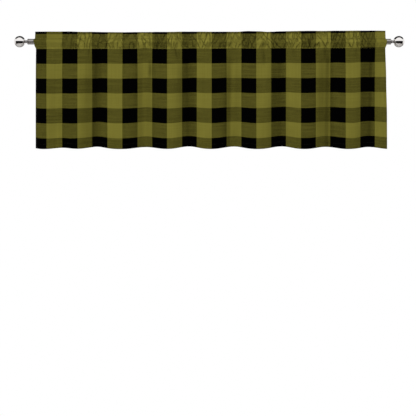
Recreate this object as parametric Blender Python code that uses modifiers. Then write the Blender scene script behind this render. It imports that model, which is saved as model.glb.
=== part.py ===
"""A window valance hung by its rod pocket on a plain curtain rod with ball finials.

The model is in metres with +Z up. Its origin lies on the rod's axis at the middle of the rod. +X runs along
the rod to the viewer's right, and the front of the cloth faces -Y.
"""

import math
from typing import NamedTuple

import bmesh
import bpy
import numpy as np

# Rod, end caps and finials
ROD_RADIUS = 0.011
ROD_HALF_LENGTH = 0.706
ROD_SIDES = 32
SEAT_GAP = 0.0003
CAP_LENGTH = 0.0047
CAP_LIP_RADIUS = 0.0114
CAP_NOSE_RADIUS = 0.0075
CAP_EDGE_RADIUS = 0.001
BALL_RADIUS = 0.0223
BALL_CENTRE_X = 0.7412
NECK_RADIUS = 0.0055
NECK_FLANGE_RADIUS = 0.0066
NECK_FLANGE_LENGTH = 0.0022
BALL_ARC_STEPS = 12
TURNING_STEPS = 28

# Cloth: one strip, hemmed below and folded over the rod above
CLOTH_THICKNESS = 0.0012
TURN_RADIUS = 0.0009
UPPER_SEAM_Z = 0.0138
LOWER_SEAM_Z = -0.0254
HEM_Z = -0.4210
HEM_DEPTH = 0.025
SEAM_ALLOWANCE = 0.006
LEFT_EDGE_X = -0.6772
RIGHT_EDGE_X = 0.6883
EDGE_REACH = 0.05
COLUMNS = 80
COLUMN_CROWDING = 1.4
COLUMN_CROWDING_REACH = 0.045
PANEL_ROWS = 9
PANEL_ROW_CROWDING = 1.5
POCKET_ARC_STEPS = 5
TURN_STEPS = 3
HEADER_TURN_ANGLE = math.radians(100)

# How the folds grow from the lower seam down to the hem
RIDGE_FORWARD = 0.012
FOLD_WIDTH_AT_SEAM = 0.75
FOLD_EARLY_GROWTH = 5.0
FOLD_SHARPNESS_AT_SEAM = 2.2
FOLD_SHARPNESS_AT_HEM = 1.6
RISE_AT_SEAM = 0.15

# Gathers of the heading, which crowd on the rod
POCKET_PUCKER = 0.0016
HEADER_PUCKER = 0.0016


class Fold(NamedTuple):
    """A recessed fold: its place at the hem, the half widths of its two flanks, and its depth.

    The lean is how far it has moved sideways where it starts, at the lower seam.
    """

    x: float
    left: float
    right: float
    depth: float
    lean: float


FOLDS = (
    Fold(x=-0.592, left=0.032, right=0.024, depth=0.016, lean=-0.006),
    Fold(x=-0.459, left=0.036, right=0.024, depth=0.034, lean=0.018),
    Fold(x=-0.253, left=0.036, right=0.036, depth=0.034, lean=-0.006),
    Fold(x=-0.082, left=0.036, right=0.028, depth=0.034, lean=-0.010),
    Fold(x=0.084, left=0.022, right=0.042, depth=0.036, lean=0.008),
    Fold(x=0.276, left=0.036, right=0.026, depth=0.034, lean=0.000),
    Fold(x=0.460, left=0.040, right=0.024, depth=0.038, lean=0.004),
    Fold(x=0.626, left=0.040, right=0.040, depth=0.034, lean=0.006),
    Fold(x=0.710, left=0.034, right=0.034, depth=0.006, lean=0.000),
)


class HemRise(NamedTuple):
    """A place where the hem is drawn up, as it is over each fold, with its half width and its rise."""

    x: float
    half_width: float
    rise: float


HEM_RISES = (
    HemRise(x=-0.690, half_width=0.024, rise=0.0050),
    HemRise(x=-0.576, half_width=0.044, rise=0.0060),
    HemRise(x=-0.443, half_width=0.048, rise=0.0104),
    HemRise(x=-0.249, half_width=0.052, rise=0.0096),
    HemRise(x=-0.081, half_width=0.048, rise=0.0120),
    HemRise(x=0.095, half_width=0.050, rise=0.0116),
    HemRise(x=0.281, half_width=0.050, rise=0.0121),
    HemRise(x=0.456, half_width=0.048, rise=0.0106),
    HemRise(x=0.624, half_width=0.046, rise=0.0100),
)


class HeaderPoint(NamedTuple):
    """Height of the header's top edge above the rod's axis, at one place along the rod."""

    x: float
    top: float


HEADER_TOP = (
    HeaderPoint(x=-0.654, top=0.0396),
    HeaderPoint(x=-0.552, top=0.0401),
    HeaderPoint(x=-0.490, top=0.0385),
    HeaderPoint(x=-0.341, top=0.0372),
    HeaderPoint(x=-0.169, top=0.0385),
    HeaderPoint(x=-0.080, top=0.0395),
    HeaderPoint(x=0.058, top=0.0391),
    HeaderPoint(x=0.110, top=0.0392),
    HeaderPoint(x=0.152, top=0.0416),
    HeaderPoint(x=0.190, top=0.0410),
    HeaderPoint(x=0.230, top=0.0387),
    HeaderPoint(x=0.284, top=0.0408),
    HeaderPoint(x=0.386, top=0.0426),
    HeaderPoint(x=0.450, top=0.0421),
    HeaderPoint(x=0.500, top=0.0430),
    HeaderPoint(x=0.629, top=0.0435),
    HeaderPoint(x=0.675, top=0.0430),
)


class EdgePoint(NamedTuple):
    """How far each side edge stands out from its straight line, at one height."""

    z: float
    left_out: float
    right_out: float


SIDE_EDGES = (
    EdgePoint(z=-0.4200, left_out=0.0000, right_out=0.0067),
    EdgePoint(z=-0.3000, left_out=0.0000, right_out=0.0061),
    EdgePoint(z=-0.1500, left_out=0.0000, right_out=0.0030),
    EdgePoint(z=-0.0254, left_out=0.0008, right_out=0.0000),
    EdgePoint(z=-0.0130, left_out=0.0057, right_out=0.0040),
    EdgePoint(z=0.0040, left_out=0.0090, right_out=0.0048),
    EdgePoint(z=0.0138, left_out=0.0040, right_out=0.0010),
    EdgePoint(z=0.0400, left_out=0.0033, right_out=0.0005),
)


def column(table, name):
    """One named column of a table of rows."""
    return np.array([getattr(row, name) for row in table])


def eased(x, places, values):
    """Value at x of a curve that eases from each row of a table to the next and is level at each."""
    after = np.clip(np.searchsorted(places, x), 1, len(places) - 1)
    start, end = places[after - 1], places[after]
    part = np.clip((x - start) / (end - start), 0.0, 1.0)
    smooth = part * part * (3.0 - 2.0 * part)
    return values[after - 1] + smooth * (values[after] - values[after - 1])


def fold_depth(x, drop):
    """Sum of the folds, each a bell with two unlike flanks, drop being 0 to 1.

    A bell is narrower towards the seam, and its bottom is sharper towards the hem.
    """
    total = np.zeros_like(x)
    narrowing = FOLD_WIDTH_AT_SEAM + (1.0 - FOLD_WIDTH_AT_SEAM) * drop
    sharpness = FOLD_SHARPNESS_AT_SEAM + (FOLD_SHARPNESS_AT_HEM - FOLD_SHARPNESS_AT_SEAM) * drop
    for fold in FOLDS:
        away = x - (fold.x + fold.lean * (1.0 - drop))
        width = narrowing * np.where(away < 0.0, fold.left, fold.right)
        total += fold.depth * np.exp(-np.abs(away / width) ** sharpness)
    return total


def hanging_depth(x, drop):
    """How far back the panel lies: ridges in front of the rod and folds behind, both from the seam."""
    growth = 1.0 - (1.0 - drop) ** FOLD_EARLY_GROWTH
    return growth * (fold_depth(x, drop) - RIDGE_FORWARD)


def hanging_height(x, drop):
    """Height of a point of the panel, a share drop of the way from the lower seam to the hem."""
    rise = np.zeros_like(x)
    for place in HEM_RISES:
        rise += place.rise * np.exp(-(((x - place.x) / place.half_width) ** 2))
    share = RISE_AT_SEAM + (1.0 - RISE_AT_SEAM) * drop * drop
    return LOWER_SEAM_Z - drop * (LOWER_SEAM_Z - HEM_Z) + share * rise


def layer_offset(x, drop):
    """How far each of two layers lies from their middle, more on a slope so that they stay apart."""
    return TURN_RADIUS * np.sqrt(1.0 + np.gradient(hanging_depth(x, drop), x) ** 2)


def header_lean(x):
    """How far the header leans back or forward where its gathers crowd, as two slow unlike waves."""
    return HEADER_PUCKER * (0.6 * np.sin(x / 0.0137 + 0.7) + 0.4 * np.sin(x / 0.0291 + 2.1))


def pocket_slack(x):
    """How far the pocket's sides stand off the rod, from nothing to the full pucker."""
    return POCKET_PUCKER * (0.5 + 0.3 * np.sin(x / 0.0153 + 1.3) + 0.2 * np.sin(x / 0.0346))


def hanging_row(x, drop, side):
    """One row of the panel, as its front layer with a side of -1 or its back layer with 1."""
    return x, hanging_depth(x, drop) + side * layer_offset(x, drop), hanging_height(x, drop)


def turn_rows(x, middle_y, offset, end_z, downwards):
    """The rows between the two layers of a fold whose extreme is at end_z, as a half circle."""
    rows = []
    for step in range(1, TURN_STEPS):
        angle = math.pi * step / TURN_STEPS
        side = offset * math.cos(angle)
        rise = TURN_RADIUS * (1.0 - math.sin(angle))
        y = middle_y + side if downwards else middle_y - side
        z = end_z + rise if downwards else end_z - rise
        rows.append((x, y, z))
    return rows


def pocket_rows(x, front):
    """Rows of one side of the rod pocket: round the rod from the seam's tangent up to the header."""
    side = -1.0 if front else 1.0
    reach = math.hypot(TURN_RADIUS, LOWER_SEAM_Z)
    around = ROD_RADIUS + SEAT_GAP + 0.5 * CLOTH_THICKNESS
    seam_angle = math.atan2(-LOWER_SEAM_Z, TURN_RADIUS)
    start = -(seam_angle - math.acos(around / reach))
    end = math.pi - HEADER_TURN_ANGLE
    step = (end - start) / POCKET_ARC_STEPS
    radius = around / math.cos(0.5 * step)
    rows = []
    for index in range(POCKET_ARC_STEPS + 1):
        angle = start + index * step
        stand_off = radius + pocket_slack(x) * math.cos(angle) ** 2 * (1.0 if angle > start else 0.5)
        rows.append((x, side * stand_off * math.cos(angle), stand_off * math.sin(angle)))
    return rows


def header_rows(x, front):
    """Rows of one layer of the header: at the upper seam, half way up, and where its top turn begins."""
    side = -TURN_RADIUS if front else TURN_RADIUS
    top = eased(x, column(HEADER_TOP, "x"), column(HEADER_TOP, "top")) - 0.5 * CLOTH_THICKNESS
    seam = np.full_like(x, UPPER_SEAM_Z)
    half = 0.5 * (seam + top)
    lean = header_lean(x)
    return [
        (x, np.full_like(x, side), seam),
        (x, side + 0.7 * lean, half),
        (x, side + lean, top - TURN_RADIUS),
    ]


def cloth_rows(x):
    """All rows of the cloth's middle surface, from the hem's raw edge round the front to the back seam."""
    drop_of_hem = 1.0 - HEM_DEPTH / (LOWER_SEAM_Z - HEM_Z)
    hem_middle = hanging_depth(x, 1.0)
    hem_offset = layer_offset(x, 1.0)
    header_top = eased(x, column(HEADER_TOP, "x"), column(HEADER_TOP, "top")) - 0.5 * CLOTH_THICKNESS
    hem_line = hanging_height(x, 1.0) + 0.5 * CLOTH_THICKNESS
    rows = [hanging_row(x, drop_of_hem, side=1.0)]
    rows.append((x, hem_middle + hem_offset, hem_line + TURN_RADIUS))
    rows += turn_rows(x, hem_middle, hem_offset, hem_line, downwards=True)
    rows.append((x, hem_middle - hem_offset, hem_line + TURN_RADIUS))
    for index in range(1, PANEL_ROWS + 1):
        drop = (1.0 - index / PANEL_ROWS) ** PANEL_ROW_CROWDING
        rows.append(hanging_row(x, drop, side=-1.0))
    rows += pocket_rows(x, front=True)
    rows += header_rows(x, front=True)
    rows += turn_rows(x, header_lean(x), TURN_RADIUS, header_top, downwards=False)
    rows += reversed(header_rows(x, front=False))
    rows += reversed(pocket_rows(x, front=False))
    rows.append(hanging_row(x, 0.0, side=1.0))
    rows.append(hanging_row(x, SEAM_ALLOWANCE / (LOWER_SEAM_Z - HEM_Z), side=1.0))
    return rows


def edge_shift(x, z):
    """How far a point moves sideways so that the two side edges have their own outlines."""
    heights = column(SIDE_EDGES, "z")
    left = np.interp(z, heights, column(SIDE_EDGES, "left_out"))
    right = np.interp(z, heights, column(SIDE_EDGES, "right_out"))
    near_left = np.exp(-(x - LEFT_EDGE_X) / EDGE_REACH)
    near_right = np.exp(-(RIGHT_EDGE_X - x) / EDGE_REACH)
    return right * near_right - left * near_left


def column_places():
    """Where the cloth's columns stand along the rod, closer together in the folds than on the ridges."""
    x = np.linspace(LEFT_EDGE_X, RIGHT_EDGE_X, 1000)
    crowding = np.ones_like(x)
    for fold in FOLDS:
        crowding += COLUMN_CROWDING * np.exp(-(((x - fold.x) / COLUMN_CROWDING_REACH) ** 2))
    share = np.cumsum(crowding) - crowding[0]
    return np.interp(np.linspace(0.0, share[-1], COLUMNS + 1), share, x)


def cloth_points():
    """The cloth's middle surface as an array of rows by columns by three coordinates."""
    x = column_places()
    points = np.array([np.stack(np.broadcast_arrays(*row), axis=-1) for row in cloth_rows(x)])
    points[..., 0] += edge_shift(points[..., 0], points[..., 2])
    return points


def clear_scene():
    """Remove every object of the scene."""
    for obj in list(bpy.data.objects):
        bpy.data.objects.remove(obj, do_unlink=True)


def principled(name, colour, roughness, metallic):
    """A Principled BSDF material with one colour, roughness and metallic value."""
    material = bpy.data.materials.new(name)
    material.use_nodes = True
    shader = material.node_tree.nodes["Principled BSDF"]
    shader.inputs["Base Color"].default_value = (*colour, 1.0)
    shader.inputs["Roughness"].default_value = roughness
    shader.inputs["Metallic"].default_value = metallic
    return material


def add_object(name, mesh, material, collection):
    """Link a mesh as a named object with one material."""
    mesh.materials.append(material)
    obj = bpy.data.objects.new(name, mesh)
    collection.objects.link(obj)
    return obj


def make_valance(collection):
    """The cloth: a grid laid on its rows, then given its thickness about that middle surface."""
    points = cloth_points()
    last_row = len(points) - 1
    cage = bmesh.new()
    bmesh.ops.create_grid(cage, x_segments=COLUMNS, y_segments=last_row, size=1.0)
    for vertex in cage.verts:
        across = round((vertex.co.x + 1.0) * 0.5 * COLUMNS)
        up = round((vertex.co.y + 1.0) * 0.5 * last_row)
        vertex.co = points[up, across]
    mesh = bpy.data.meshes.new("valance")
    cage.to_mesh(mesh)
    cage.free()
    mesh.shade_smooth()
    cloth = principled("olive_check_cotton", (0.085, 0.078, 0.016), 0.85, 0.0)
    valance = add_object("valance", mesh, cloth, collection)
    thicken = valance.modifiers.new("Cloth thickness", "SOLIDIFY")
    thicken.thickness = CLOTH_THICKNESS
    thicken.offset = 0.0
    return valance


def make_rod(collection, metal):
    """The rod: a plain round bar along X."""
    cage = bmesh.new()
    bmesh.ops.create_cone(
        cage,
        cap_ends=True,
        segments=ROD_SIDES,
        radius1=ROD_RADIUS,
        radius2=ROD_RADIUS,
        depth=2.0 * ROD_HALF_LENGTH,
    )
    mesh = bpy.data.meshes.new("rod")
    cage.to_mesh(mesh)
    cage.free()
    mesh.shade_smooth()
    mesh.set_sharp_from_angle(angle=math.radians(40))
    rod = add_object("rod", mesh, metal, collection)
    rod.rotation_euler = (0.0, math.radians(90), 0.0)
    return rod


def cap_profile():
    """End cap's outline as radius and height above the rod's end, from its nose down to its seat."""
    points = [(0.0, CAP_LENGTH), (CAP_NOSE_RADIUS, CAP_LENGTH)]
    shoulder = CAP_LENGTH - 1.8 * CAP_EDGE_RADIUS
    points.append((CAP_LIP_RADIUS - CAP_EDGE_RADIUS, shoulder + 0.6 * CAP_EDGE_RADIUS))
    points.append((CAP_LIP_RADIUS, shoulder - 0.4 * CAP_EDGE_RADIUS))
    points += [(CAP_LIP_RADIUS, 0.0), (0.0, 0.0)]
    return points


def finial_profile():
    """Finial's outline from the ball's pole down round the ball, the neck and its small flange."""
    neck_start = ROD_HALF_LENGTH + CAP_LENGTH + 2.0 * SEAT_GAP
    centre = BALL_CENTRE_X - neck_start
    neck_angle = math.pi - math.asin(NECK_RADIUS / BALL_RADIUS)
    points = []
    for step in range(BALL_ARC_STEPS + 1):
        angle = neck_angle * step / BALL_ARC_STEPS
        points.append((BALL_RADIUS * math.sin(angle), centre + BALL_RADIUS * math.cos(angle)))
    points.append((NECK_RADIUS, NECK_FLANGE_LENGTH + 0.0008))
    points.append((NECK_FLANGE_RADIUS, NECK_FLANGE_LENGTH))
    points += [(NECK_FLANGE_RADIUS, 0.0), (0.0, 0.0)]
    return points


def make_turned(name, profile, side, start, collection, metal):
    """A turned piece: its outline spun about its axis, which is laid along the rod at one end."""
    outline = bmesh.new()
    corners = [outline.verts.new((radius, 0.0, height)) for radius, height in profile]
    for first, second in zip(corners, corners[1:]):
        outline.edges.new((first, second))
    mesh = bpy.data.meshes.new(name)
    outline.to_mesh(mesh)
    outline.free()
    piece = add_object(name, mesh, metal, collection)
    spin = piece.modifiers.new("Turning", "SCREW")
    spin.steps = TURNING_STEPS
    spin.render_steps = TURNING_STEPS
    spin.use_merge_vertices = True
    spin.merge_threshold = 0.00001
    spin.use_smooth_shade = True
    piece.location = (side * start, 0.0, 0.0)
    piece.rotation_euler = (0.0, side * math.radians(90), 0.0)
    return piece


def main():
    """Build the cloth, the rod, and the cap and finial at each end."""
    clear_scene()
    collection = bpy.data.collections.new("window_valance")
    bpy.context.scene.collection.children.link(collection)
    metal = principled("polished_chrome", (0.78, 0.77, 0.76), 0.08, 1.0)
    make_valance(collection)
    make_rod(collection, metal)
    cap_start = ROD_HALF_LENGTH + SEAT_GAP
    finial_start = cap_start + CAP_LENGTH + SEAT_GAP
    for name, side in (("left", -1.0), ("right", 1.0)):
        make_turned(f"end_cap_{name}", cap_profile(), side, cap_start, collection, metal)
        make_turned(f"finial_{name}", finial_profile(), side, finial_start, collection, metal)


main()
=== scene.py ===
"""The looks of a window valance: woven check cloth gathered on a metal rod, its sewing, light and camera.

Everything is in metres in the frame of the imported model: the origin is on the rod's axis at mid length, +X
runs to the viewer's right, +Z is up, and the front of the cloth faces -Y.
"""

import logging
import math
from dataclasses import dataclass
from enum import Enum
from typing import NamedTuple

import bmesh
import bpy
import numpy as np
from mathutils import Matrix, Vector


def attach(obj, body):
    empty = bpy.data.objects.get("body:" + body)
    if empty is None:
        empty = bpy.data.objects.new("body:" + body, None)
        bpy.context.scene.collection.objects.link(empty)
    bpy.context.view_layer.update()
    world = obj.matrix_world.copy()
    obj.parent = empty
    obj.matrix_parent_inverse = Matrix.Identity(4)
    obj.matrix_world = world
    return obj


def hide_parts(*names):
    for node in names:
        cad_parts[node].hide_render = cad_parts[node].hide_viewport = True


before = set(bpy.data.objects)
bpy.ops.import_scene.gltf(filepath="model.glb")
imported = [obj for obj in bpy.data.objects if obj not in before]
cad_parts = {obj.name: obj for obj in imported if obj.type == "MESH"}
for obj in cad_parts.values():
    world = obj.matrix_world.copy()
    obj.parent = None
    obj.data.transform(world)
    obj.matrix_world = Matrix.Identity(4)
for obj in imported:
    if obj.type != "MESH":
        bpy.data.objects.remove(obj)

Array = np.ndarray
Colour = tuple[float, float, float, float]
Range = tuple[float, float]
Tree = bpy.types.NodeTree
Node = bpy.types.Node
Socket = bpy.types.NodeSocket
Mesh = bpy.types.Mesh
Material = bpy.types.Material
Object = bpy.types.Object

LOG = logging.getLogger("valance")
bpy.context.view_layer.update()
MM = 0.001
UV_NAME = "strip"
# Name of the point attribute that holds the painted shade of creases and fold bottoms
PAINTED_SHADE_ATTRIBUTE = "crease"
# Where nearly all of a noise lies
NOISE_SPAN: Range = (0.25, 0.75)
NOISE_MIDDLE = 0.5
# About the distance between the bands of a wave texture at scale 1
WAVE_BAND = math.pi / 10.0


def linear(hex_colour: str) -> Colour:
    """Turn an sRGB hex colour to linear red, green, blue and alpha.

    Args:
        hex_colour: six hex digits, as in "716c2c".

    Returns:
        The linear colour, opaque.
    """
    channels = [int(hex_colour[i:i + 2], 16) / 255.0 for i in (0, 2, 4)]
    red, green, blue = (c / 12.92 if c <= 0.04045 else ((c + 0.055) / 1.055) ** 2.4 for c in channels)
    return (red, green, blue, 1.0)


def shaded(colour: Colour, factor: float) -> Colour:
    """A colour made darker or lighter by a factor, still opaque."""
    red, green, blue, alpha = colour
    return (red * factor, green * factor, blue * factor, alpha)


def fill_inputs(tree: Tree, node: Node, *values: object, **named: object) -> None:
    """Fill or link a node's inputs.

    Args:
        tree: the node tree.
        node: the node.
        values: its first inputs in use, in their order.
        named: other inputs by name, with underscores for spaces. An input is a plain value, an output
            socket, or a node, whose first output in use is meant.
    """
    sockets = [socket for socket in node.inputs if socket.enabled]
    by_name = {socket.name.replace(" ", "_"): socket for socket in sockets}
    pairs = list(zip(sockets, values)) + [(by_name[name], value) for name, value in named.items()]
    for socket, value in pairs:
        if isinstance(value, Node):
            value = next(output for output in value.outputs if output.enabled)
        if isinstance(value, Socket):
            tree.links.new(value, socket)
        else:
            socket.default_value = value


def add_node(tree: Tree, kind: str, *values: object, **named: object) -> Node:
    """Add a shader node, set its options and fill or link its inputs.

    Args:
        tree: the node tree.
        kind: the node's type, without "ShaderNode".
        values: its first inputs, in their order.
        named: its options, which start with a small letter, and other inputs, which start with a capital.

    Returns:
        The new node.
    """
    node = tree.nodes.new(f"ShaderNode{kind}")
    for name, value in named.items():
        if name[0].islower():
            setattr(node, name, value)
    inputs = {name: value for name, value in named.items() if name[0].isupper()}
    fill_inputs(tree, node, *values, **inputs)
    return node


def new_material(name: str) -> tuple[Material, Tree, Node]:
    """Make a material with its node tree and return both with its Principled BSDF."""
    material = bpy.data.materials.new(name)
    material.use_nodes = True
    tree = material.node_tree
    return material, tree, tree.nodes["Principled BSDF"]


def grid_mesh(
    name: str, points: Array, uv: Array | None = None, shade: Array | None = None, ring: bool = False
) -> Mesh:
    """Turn rows by columns of points into a smooth mesh of quads.

    Args:
        name: the mesh's name.
        points: rows by columns by three coordinates.
        uv: rows by columns by two, the mesh's own map, or None.
        shade: rows by columns, the painted shade of each point in creases and fold bottoms, from 0 to 1, or
            None.
        ring: whether the last column joins the first.

    Returns:
        The mesh.
    """
    rows, columns = points.shape[:2]
    index = np.arange(rows * columns).reshape(rows, columns)
    if ring:
        index = np.concatenate([index, index[:, :1]], axis=1)
    corners = [index[:-1, :-1], index[:-1, 1:], index[1:, 1:], index[1:, :-1]]
    quads = np.stack(corners, axis=-1).reshape(-1, 4)
    mesh = bpy.data.meshes.new(name)
    mesh.from_pydata(points.reshape(-1, 3), [], quads)
    mesh.shade_smooth()
    if uv is not None:
        layer = mesh.uv_layers.new(name=UV_NAME)
        layer.data.foreach_set("uv", uv.reshape(-1, 2)[quads.ravel()].astype(np.float32).ravel())
    if shade is not None:
        attribute = mesh.attributes.new(PAINTED_SHADE_ATTRIBUTE, "FLOAT", "POINT")
        attribute.data.foreach_set("value", shade.astype(np.float32).ravel())
    return mesh


def add_piece(name: str, mesh: Mesh, material: Material) -> Object:
    """Link a mesh as a piece that rides on the root body, with its material."""
    mesh.materials.append(material)
    piece = bpy.data.objects.new(name, mesh)
    bpy.context.scene.collection.objects.link(piece)
    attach(piece, "root")
    return piece


class Layer(Enum):
    """Which of the two layers of a doubled stretch of cloth is meant, as the side of the rod it lies on."""

    FRONT = -1.0
    BACK = 1.0


@dataclass(frozen=True)
class Fold:
    """A recessed fold of the hanging cloth.

    Attributes:
        x: its place at the hem.
        left: half width of its left flank.
        right: half width of its right flank.
        depth: how far back it lies.
        lean: how far it has moved sideways at the seam.
        shade: how much painted shade lies along its bottom, from 0 to 1.
    """

    x: float
    left: float
    right: float
    depth: float
    lean: float
    shade: float


FOLDS = (
    Fold(x=-0.592, left=0.032, right=0.024, depth=0.016, lean=-0.006, shade=0.00),
    Fold(x=-0.459, left=0.036, right=0.024, depth=0.034, lean=0.018, shade=0.75),
    Fold(x=-0.253, left=0.036, right=0.036, depth=0.034, lean=-0.006, shade=0.10),
    Fold(x=-0.082, left=0.036, right=0.028, depth=0.034, lean=-0.010, shade=0.75),
    Fold(x=0.084, left=0.026, right=0.042, depth=0.034, lean=0.008, shade=0.00),
    Fold(x=0.276, left=0.036, right=0.026, depth=0.034, lean=0.000, shade=0.65),
    Fold(x=0.460, left=0.040, right=0.024, depth=0.038, lean=0.004, shade=1.00),
    Fold(x=0.626, left=0.040, right=0.040, depth=0.034, lean=0.006, shade=0.85),
    Fold(x=0.710, left=0.034, right=0.034, depth=0.006, lean=0.000, shade=0.00),
)


@dataclass(frozen=True)
class HemRise:
    """A place where the hem is drawn up, as it is over each fold.

    Attributes:
        x: its middle.
        half_width: its half width.
        rise: how far the hem is drawn up there.
    """

    x: float
    half_width: float
    rise: float


HEM_RISES = (
    HemRise(x=-0.690, half_width=0.024, rise=0.0050),
    HemRise(x=-0.576, half_width=0.044, rise=0.0060),
    HemRise(x=-0.443, half_width=0.048, rise=0.0104),
    HemRise(x=-0.249, half_width=0.052, rise=0.0096),
    HemRise(x=-0.081, half_width=0.048, rise=0.0120),
    HemRise(x=0.095, half_width=0.050, rise=0.0116),
    HemRise(x=0.281, half_width=0.050, rise=0.0121),
    HemRise(x=0.456, half_width=0.048, rise=0.0106),
    HemRise(x=0.624, half_width=0.046, rise=0.0100),
)


@dataclass(frozen=True)
class Curve:
    """A smooth curve through a short list of places, level at each of them.

    Attributes:
        places: where it is given, in rising order.
        values: its value at each place.
    """

    places: tuple[float, ...]
    values: tuple[float, ...]

    def at(self, x: Array) -> Array:
        """The curve's value at x: it eases from each value to the next by a cubic step."""
        places, values = np.array(self.places), np.array(self.values)
        after = np.clip(np.searchsorted(places, x), 1, len(places) - 1)
        start, end = places[after - 1], places[after]
        part = np.clip((x - start) / (end - start), 0.0, 1.0)
        return values[after - 1] + part * part * (3.0 - 2.0 * part) * (values[after] - values[after - 1])


# Height of the header's top edge along the rod
HEADER_TOP = Curve(
    places=(
        -0.654, -0.552, -0.490, -0.341, -0.169, -0.080, 0.058, 0.110, 0.152, 0.190, 0.230, 0.284,
        0.386, 0.450, 0.500, 0.629, 0.675,
    ),
    values=(
        0.0396, 0.0401, 0.0385, 0.0372, 0.0385, 0.0395, 0.0391, 0.0392, 0.0416, 0.0410, 0.0387,
        0.0408, 0.0426, 0.0421, 0.0430, 0.0435, 0.0430,
    ),
)
# How far the left side edge stands out at each height
LEFT_OUT = Curve(
    places=(-0.0300, -0.0130, 0.0040, 0.0138, 0.0400),
    values=(0.0000, 0.0057, 0.0090, 0.0040, 0.0033),
)
# The same for the right side edge, which flares towards the hem
RIGHT_OUT = Curve(
    places=(-0.4200, -0.3000, -0.1500, -0.0254, -0.0130, 0.0040, 0.0138, 0.0400),
    values=(0.0067, 0.0061, 0.0030, 0.0000, 0.0040, 0.0048, 0.0010, 0.0005),
)
# How far the check's rows run off the rod's line, over one gathered place and towards the right end
CHECK_RISE = Curve(
    places=(-0.660, -0.286, -0.251, -0.214, -0.180, 0.000, 0.390, 0.500, 0.670),
    values=(-0.0016, -0.0014, 0.0014, -0.0012, -0.0016, 0.0000, 0.0006, 0.0024, 0.0055),
)
# How far the rows sag towards the hem, beside the outermost folds
CHECK_SAG = Curve(
    places=(-0.655, -0.610, -0.550, -0.510, 0.520, 0.565, 0.605),
    values=(0.0000, 0.0018, 0.0032, 0.0000, 0.0000, 0.0027, 0.0000),
)
# How far the columns are drawn to the left into a fold
CHECK_DRAWN = Curve(
    places=(-0.510, -0.462, -0.425),
    values=(0.0000, 0.0034, 0.0000),
)
# How strongly the heading is gathered along its width, smooth near both ends
GATHERING = Curve(
    places=(-0.690, -0.575, -0.500, -0.380, -0.220, -0.050, 0.060, 0.190, 0.300, 0.440, 0.560, 0.640, 0.690),
    values=(0.25, 0.25, 0.90, 0.80, 1.10, 0.90, 0.60, 1.00, 0.90, 1.20, 0.90, 0.60, 0.30),
)


class Crease(NamedTuple):
    """A soft trough across the cloth, or a ridge where its depth is negative.

    Attributes:
        x: where it crosses its own middle height.
        height: its middle, above the lower seam.
        reach: half its length along the cloth.
        lean: sideways run for each unit of height.
        width: half width.
        depth: how far back it lies.
    """

    x: float
    height: float
    reach: float
    lean: float
    width: float
    depth: float

    def at(self, x: Array, height: float) -> Array:
        """Its depth at places along the rod, all at one height.

        It is a bell across its line times a rounded window along it, one minus the squared distance from
        its middle over its reach, squared.
        """
        along = max(1.0 - ((height - self.height) / self.reach) ** 2, 0.0) ** 2
        across = (x - self.x - self.lean * (height - self.height)) / self.width
        return self.depth * along * np.exp(-across * across)


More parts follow.
